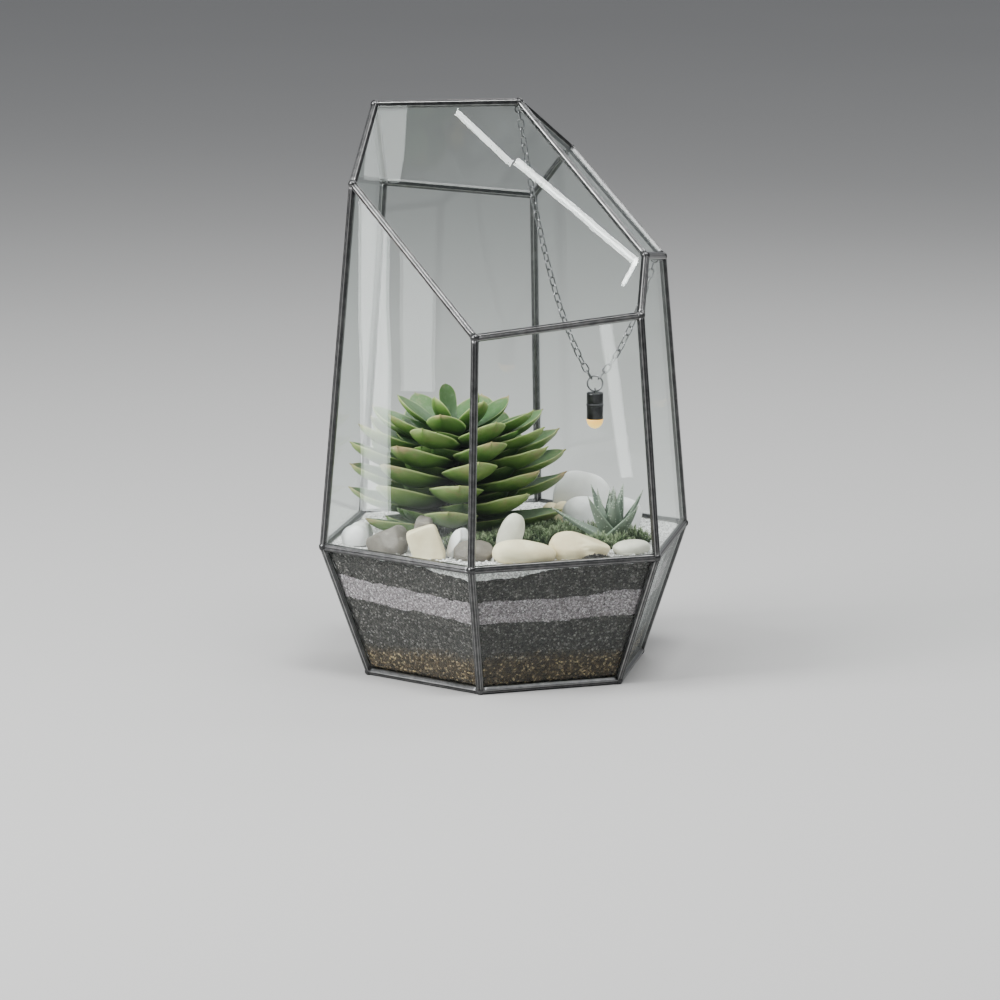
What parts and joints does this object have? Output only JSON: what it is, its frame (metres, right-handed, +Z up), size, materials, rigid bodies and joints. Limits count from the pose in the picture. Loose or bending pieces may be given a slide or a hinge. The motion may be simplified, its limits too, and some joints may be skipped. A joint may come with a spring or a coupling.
{
  "type": "glass plant terrarium",
  "caption": "Geometric glass terrarium with a slanted roof, holding an echeveria, a haworthia, moss and pebbles over bands of gravel and sand, with a tiny lamp hung on a chain.",
  "frame": {"origin": "on the ground under the middle of the base ring", "axes": "+Z up, -Y towards the front rib, +X towards the low end of the slanted roof"},
  "size_m": [0.1774, 0.2046, 0.2942],
  "materials": {
    "frame_metal": "dark patinated came, satin, with brighter worn edges",
    "clear_glass": "clear polished sheet glass with a faint green edge",
    "brown_grit": "rough brown grit with golden grains",
    "dark_gravel": "rough dark grey fine gravel",
    "pale_sand": "pale mauve coarse sand",
    "white_sand": "coarse white sand",
    "echeveria_leaf": "waxy green leaves with pale edges and pink tips",
    "haworthia_leaf": "grey-green stiff leaves, satin",
    "moss": "dark green spiky moss, matt",
    "white_pebble": "smooth tumbled white pebble, satin",
    "cream_pebble": "smooth tumbled cream pebble, satin",
    "grey_pebble": "tumbled grey-brown pebble, matt",
    "lamp_metal": "blackened steel, satin",
    "warm_bulb": "frosted warm glowing bulb",
    "cell_metal": "bright button cells",
    "chain_metal": "dark polished steel chain"
  },
  "bodies": {
    "root": {"base_ring": "frame_metal", "girdle_ring": "frame_metal", "top_frame": "frame_metal", "lower_rib_1": "frame_metal", "lower_rib_2": "frame_metal", "lower_rib_3": "frame_metal", "lower_rib_4": "frame_metal", "lower_rib_5": "frame_metal", "lower_rib_6": "frame_metal", "upper_rib_1": "frame_metal", "upper_rib_2": "frame_metal", "upper_rib_3": "frame_metal", "upper_rib_4": "frame_metal", "upper_rib_5": "frame_metal", "upper_rib_6": "frame_metal", "base_pane": "clear_glass", "lower_pane_1": "clear_glass", "lower_pane_2": "clear_glass", "lower_pane_3": "clear_glass", "lower_pane_4": "clear_glass", "lower_pane_5": "clear_glass", "lower_pane_6": "clear_glass", "upper_pane_1": "clear_glass", "upper_pane_2": "clear_glass", "upper_pane_3": "clear_glass", "upper_pane_4": "clear_glass", "upper_pane_5": "clear_glass", "upper_pane_6": "clear_glass", "front_roof_pane": "clear_glass", "back_roof_pane": "clear_glass", "right_roof_pane": "clear_glass", "drainage_grit": "brown_grit", "lower_gravel": "dark_gravel", "pale_band": "pale_sand", "upper_gravel": "dark_gravel", "white_sand": "white_sand", "echeveria": "echeveria_leaf", "haworthia": "haworthia_leaf", "moss_mat": "moss", "stone_big_white": "white_pebble", "stone_back_white": "white_pebble", "stone_right_white": "white_pebble", "stone_low_white": "white_pebble", "stone_bluish_white": "white_pebble", "stone_upright_cream": "cream_pebble", "stone_cream_oval": "cream_pebble", "stone_cream_dented": "cream_pebble", "stone_cream_block": "cream_pebble", "stone_brown": "grey_pebble", "stone_grey_block": "grey_pebble", "stones_left_pair": "white_pebble", "stones_small_pair": "cream_pebble", "stones_back_pair": "white_pebble", "lamp_cap": "lamp_metal", "lamp_body": "lamp_metal", "lamp_bulb": "warm_bulb", "lamp_core": "cell_metal", "jump_ring": "chain_metal", "chain_long": "chain_metal", "chain_short": "chain_metal"}
  },
  "joints": []
}
